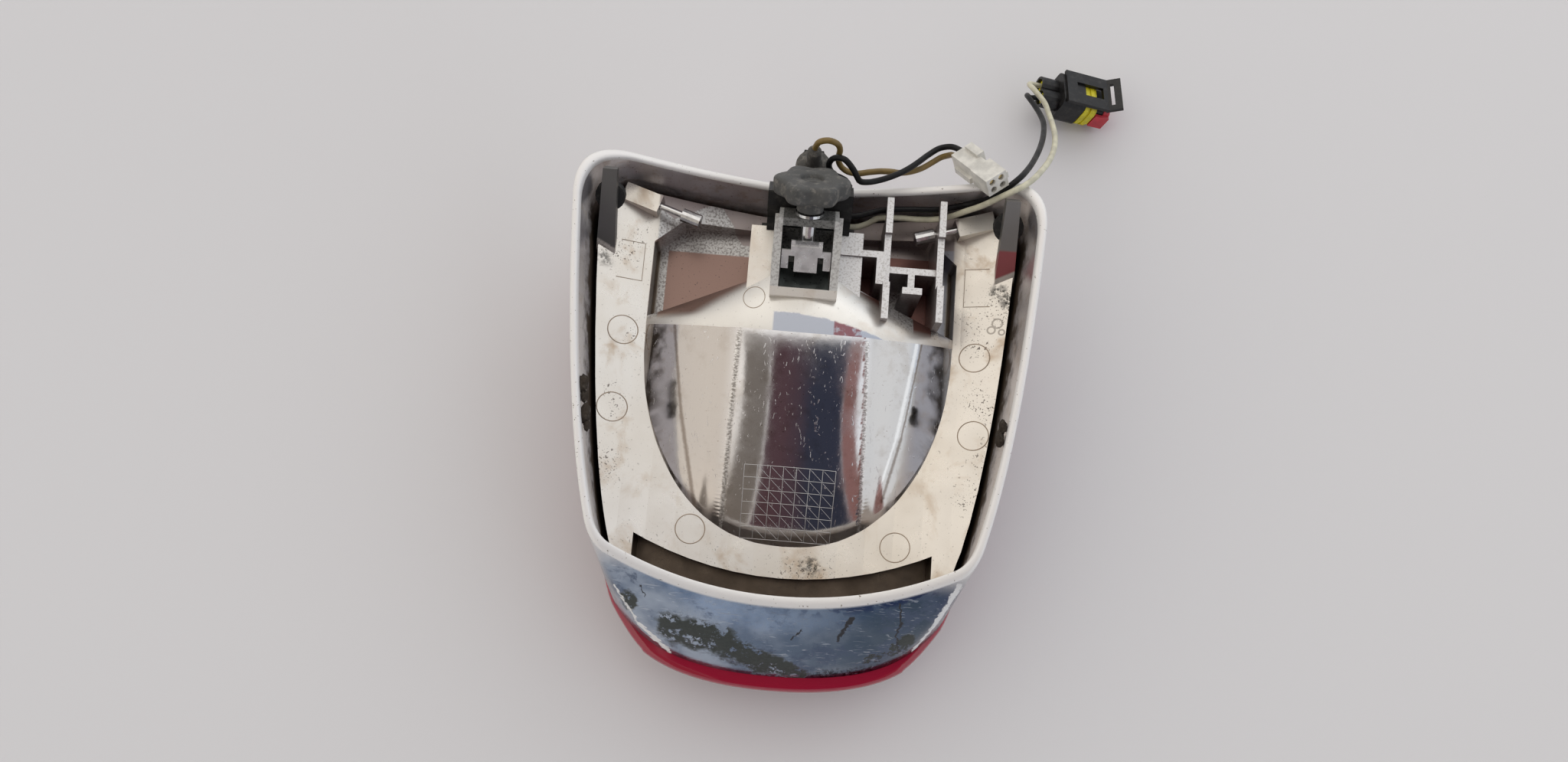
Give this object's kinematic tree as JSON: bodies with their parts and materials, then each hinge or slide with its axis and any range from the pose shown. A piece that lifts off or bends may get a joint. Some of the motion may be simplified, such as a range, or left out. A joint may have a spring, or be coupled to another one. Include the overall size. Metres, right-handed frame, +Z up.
{
  "type": "motorcycle tail light",
  "caption": "Scooter tail light lying on its red lens: hooded bright bezel, metallised reflector housing, fixing knob, bulb holder and wired connectors.",
  "frame": {"origin": "on the surface the light lies on, under the flat middle of its lens, on the light's middle line", "axes": "+X to the light's right in the picture, +Y from the hooded end to the end with the knob, +Z up out of the mounting side"},
  "size_m": [0.1926, 0.2383, 0.0936],
  "materials": {
    "bezel": "bright metallised paint, peeled and crazed on the hood",
    "lens": "clear red, polished",
    "reflector": "metallised, stained",
    "seal": "matt black",
    "knob": "weathered dark grey",
    "steel": "zinc plated, dull",
    "holder": "moulded black",
    "boot": "dusty dark grey",
    "brass": "dull",
    "bulb": "clear",
    "white_plastic": "off-white",
    "connector": "moulded black",
    "yellow_seal": "ribbed silicone",
    "red_plastic": "moulded red",
    "khaki_sheath": "smooth",
    "black_sheath": "smooth",
    "cream_sheath": "smooth"
  },
  "bodies": {
    "light": {"trim_bezel": "bezel", "lens": "lens", "lens_gasket": "seal", "reflector_housing": "reflector", "spring_clip": "steel", "bulb_holder": "holder", "holder_gasket": "seal", "holder_boot": "boot", "stop_contact": "brass", "tail_contact": "brass", "stop_bulb_base": "brass", "stop_bulb_glass": "bulb", "tail_bulb_base": "holder", "tail_bulb_glass": "bulb", "rubber_pad_left": "seal", "rubber_pad_right": "seal", "retaining_pin_left": "steel", "retaining_pin_right": "steel", "tail_connector": "white_plastic", "tail_terminal_a": "brass", "tail_terminal_b": "brass", "stop_connector": "connector", "connector_seal": "yellow_seal", "connector_wedge": "red_plastic", "wire_seal_a": "yellow_seal", "wire_seal_b": "yellow_seal", "wire_khaki": "khaki_sheath", "wire_black_loop": "black_sheath", "wire_black_long": "black_sheath", "wire_cream": "cream_sheath"},
    "washer": {"stud_washer": "steel"},
    "knob": {"fixing_knob": "knob", "knob_stud": "steel"}
  },
  "joints": [
    {"name": "knob_lift", "type": "slide", "parent": "light", "child": "washer", "axis": [0, 0.7501, 0.6613], "range_m": [0, 0.0032]},
    {"name": "knob_turn", "type": "hinge", "parent": "washer", "child": "knob", "pos_m": [0, 0.0703, 0.084], "axis": [0, 0.7501, 0.6613], "range_deg": [0, 1440]}
  ],
  "couplings": [
    {"joint": "knob_turn", "follows": "knob_lift", "rad_per_m": 7854}
  ]
}
